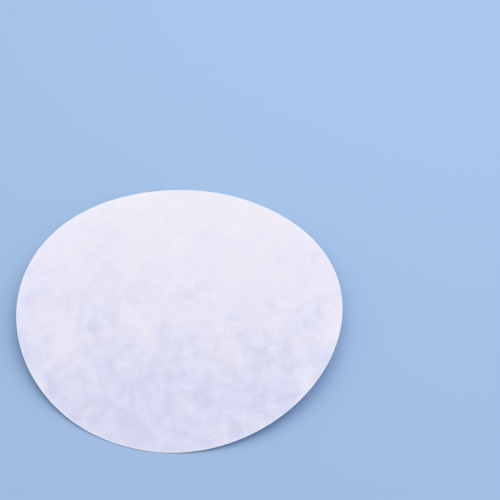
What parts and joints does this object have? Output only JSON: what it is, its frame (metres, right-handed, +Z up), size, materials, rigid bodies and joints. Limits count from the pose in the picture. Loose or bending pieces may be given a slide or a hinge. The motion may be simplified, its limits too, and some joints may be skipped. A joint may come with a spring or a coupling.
{
  "type": "filter paper disc",
  "caption": "Thin round sheet of white filter paper that lies on its flat middle band with two softly curled sides.",
  "frame": {"origin": "centre of the flat middle band, on the underside of the paper", "axes": "+Z up from the surface that the disc lies on, Y along the trough of the curl, X towards the two lifted sides"},
  "size_m": [0.15, 0.15, 0.0078],
  "materials": {
    "filter_paper": "matte, uncoated cotton paper with a faint cloudy formation"
  },
  "bodies": {
    "root": {"paper_disc": "filter_paper"}
  },
  "joints": []
}
